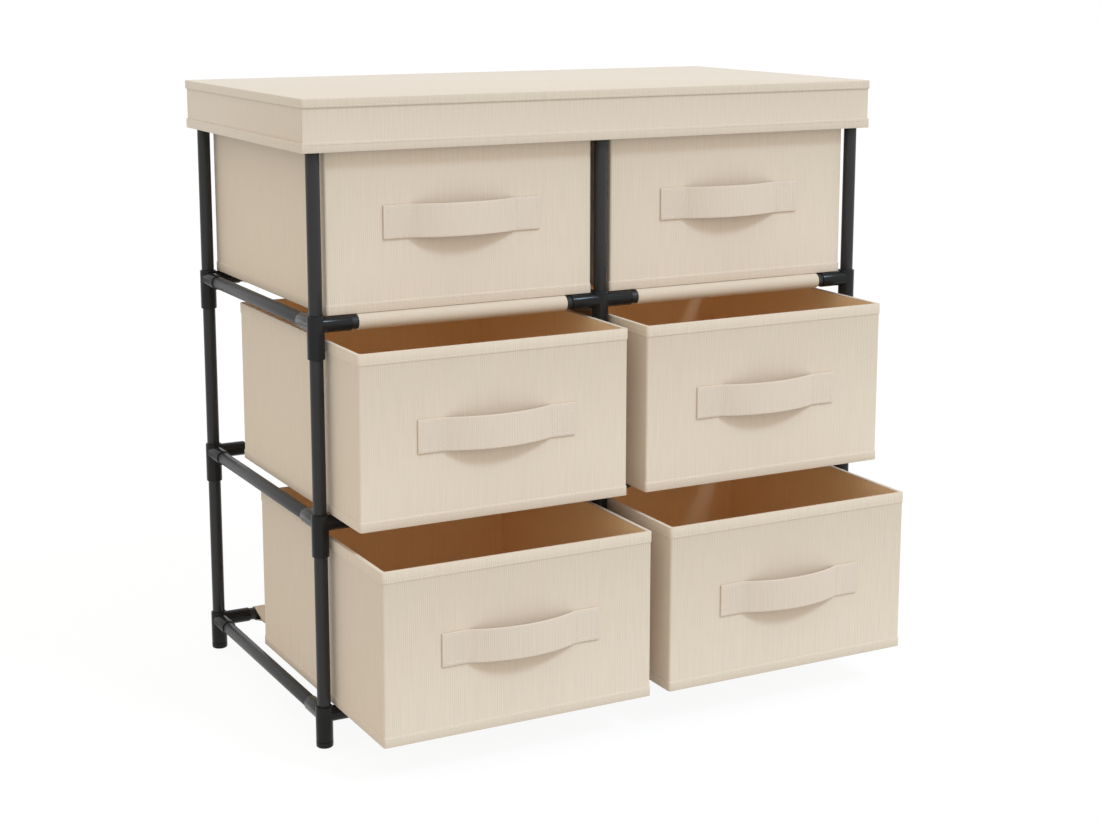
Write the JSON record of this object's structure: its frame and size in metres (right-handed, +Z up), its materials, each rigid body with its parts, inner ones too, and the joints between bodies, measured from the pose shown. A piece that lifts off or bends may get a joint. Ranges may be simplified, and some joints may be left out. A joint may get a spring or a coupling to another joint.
{
  "type": "drawer cabinet",
  "caption": "Fabric drawer cabinet: a steel tube rack with moulded connectors and cloth shelves, loose fabric baskets with strap handles as drawers, and a fabric-covered lid.",
  "frame": {"origin": "centre of the rear centre foot's underside, on the floor", "axes": "+X to the right seen from the front, +Y to the rear, +Z up"},
  "size_m": [0.63, 0.4598, 0.6188],
  "materials": {
    "steel_tube": "charcoal paint, satin",
    "black_moulding": "black moulded plastic, glossy",
    "basket_cloth": "cream non-woven cloth with a fine upright rib",
    "strap_cloth": "cream cloth strap, folded and stitched",
    "lid_cloth": "cream non-woven cloth",
    "lining_cloth": "brown non-woven cloth",
    "shelf_cloth": "cream non-woven cloth",
    "fibreboard": "raw pressed fibreboard"
  },
  "bodies": {
    "frame": {"front_left_post": "steel_tube", "front_centre_post": "steel_tube", "front_right_post": "steel_tube", "rear_left_post": "steel_tube", "rear_centre_post": "steel_tube", "rear_right_post": "steel_tube", "bottom_width_rails": "steel_tube", "bottom_depth_rails": "steel_tube", "lower_width_rails": "steel_tube", "lower_depth_rails": "steel_tube", "upper_width_rails": "steel_tube", "upper_depth_rails": "steel_tube", "top_width_rails": "steel_tube", "top_depth_rails": "steel_tube", "foot_connectors": "black_moulding", "lower_connectors": "black_moulding", "upper_connectors": "black_moulding", "top_connectors": "black_moulding", "foot_caps": "black_moulding", "bottom_left_shelf": "shelf_cloth", "bottom_right_shelf": "shelf_cloth", "middle_left_shelf": "shelf_cloth", "middle_right_shelf": "shelf_cloth", "top_left_shelf": "shelf_cloth", "top_right_shelf": "shelf_cloth"},
    "lid": {"lid_board": "fibreboard", "lid_cover": "lid_cloth", "lid_front_flap": "lid_cloth"},
    "top_left_drawer": {"top_left_drawer_cover": "basket_cloth", "top_left_drawer_lining": "lining_cloth", "top_left_drawer_wall_boards": "fibreboard", "top_left_drawer_base_board": "fibreboard", "top_left_drawer_handle": "strap_cloth"},
    "top_right_drawer": {"top_right_drawer_cover": "basket_cloth", "top_right_drawer_lining": "lining_cloth", "top_right_drawer_wall_boards": "fibreboard", "top_right_drawer_base_board": "fibreboard", "top_right_drawer_handle": "strap_cloth"},
    "middle_left_drawer": {"middle_left_drawer_cover": "basket_cloth", "middle_left_drawer_lining": "lining_cloth", "middle_left_drawer_wall_boards": "fibreboard", "middle_left_drawer_base_board": "fibreboard", "middle_left_drawer_handle": "strap_cloth"},
    "middle_right_drawer": {"middle_right_drawer_cover": "basket_cloth", "middle_right_drawer_lining": "lining_cloth", "middle_right_drawer_wall_boards": "fibreboard", "middle_right_drawer_base_board": "fibreboard", "middle_right_drawer_handle": "strap_cloth"},
    "bottom_left_drawer": {"bottom_left_drawer_cover": "basket_cloth", "bottom_left_drawer_lining": "lining_cloth", "bottom_left_drawer_wall_boards": "fibreboard", "bottom_left_drawer_base_board": "fibreboard", "bottom_left_drawer_handle": "strap_cloth"},
    "bottom_right_drawer": {"bottom_right_drawer_cover": "basket_cloth", "bottom_right_drawer_lining": "lining_cloth", "bottom_right_drawer_wall_boards": "fibreboard", "bottom_right_drawer_base_board": "fibreboard", "bottom_right_drawer_handle": "strap_cloth"}
  },
  "joints": [
    {"name": "top_left_drawer_slide", "type": "slide", "parent": "frame", "child": "top_left_drawer", "axis": [0, -1, 0], "range_m": [0, 0.25], "deforming": ["lid_front_flap"]},
    {"name": "top_right_drawer_slide", "type": "slide", "parent": "frame", "child": "top_right_drawer", "axis": [0, -1, 0], "range_m": [0, 0.25], "deforming": ["lid_front_flap"]},
    {"name": "middle_left_drawer_slide", "type": "slide", "parent": "frame", "child": "middle_left_drawer", "axis": [0, -1, 0], "range_m": [-0.073, 0.177]},
    {"name": "middle_right_drawer_slide", "type": "slide", "parent": "frame", "child": "middle_right_drawer", "axis": [0, -1, 0], "range_m": [-0.073, 0.177]},
    {"name": "bottom_left_drawer_slide", "type": "slide", "parent": "frame", "child": "bottom_left_drawer", "axis": [0, -1, 0], "range_m": [-0.121, 0.129]},
    {"name": "bottom_right_drawer_slide", "type": "slide", "parent": "frame", "child": "bottom_right_drawer", "axis": [0, -1, 0], "range_m": [-0.121, 0.129]},
    {"name": "lid_lift", "type": "slide", "parent": "frame", "child": "lid", "axis": [0, 0, 1], "range_m": [0, 0.08]}
  ]
}
